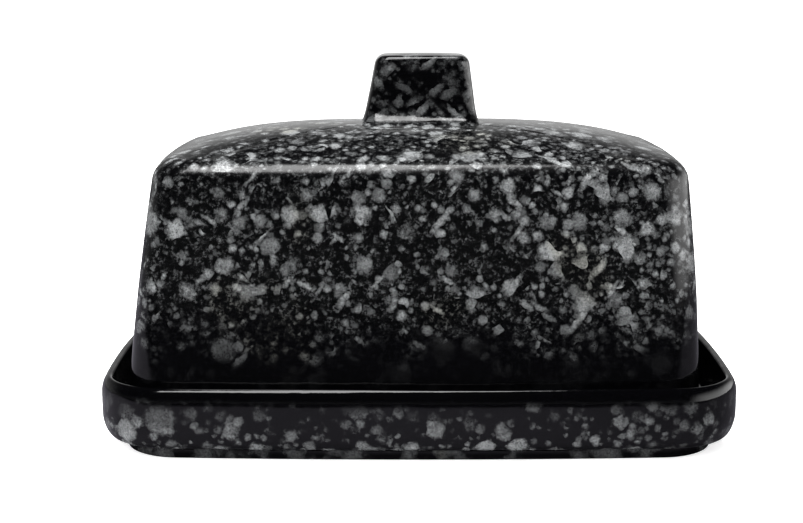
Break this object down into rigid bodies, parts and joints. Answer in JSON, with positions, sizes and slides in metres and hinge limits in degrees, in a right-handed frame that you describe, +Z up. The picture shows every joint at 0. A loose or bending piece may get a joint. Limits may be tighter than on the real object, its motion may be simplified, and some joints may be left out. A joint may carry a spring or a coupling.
{
  "type": "butter dish",
  "caption": "Lidded rectangular butter dish: a domed stoneware cover with a square block knob stands inside the rim of a shallow footed tray and lifts straight off.",
  "frame": {"origin": "middle of the face that the dish rests on, at table height", "axes": "+X along the dish's length, +Y to its back, +Z up"},
  "size_m": [0.1796, 0.112, 0.1081],
  "materials": {
    "tray_glaze": "glossy black glaze with large, dim grey spots on the wall and plain black inside",
    "foot_glaze": "glossy black glaze with grey spots, wiped back to dry clay on the resting face",
    "lid_glaze": "glossy black glaze densely spattered with pale grey spots and streaks",
    "knob_glaze": "glossy black glaze with a few soft grey spots"
  },
  "bodies": {
    "tray": {"tray_body": "tray_glaze", "tray_foot": "foot_glaze"},
    "lid": {"lid_shell": "lid_glaze", "lid_knob": "knob_glaze"}
  },
  "joints": [
    {"name": "lid_lift", "type": "slide", "parent": "tray", "child": "lid", "axis": [0, 0, 1], "range_m": [0, 0.12]}
  ]
}
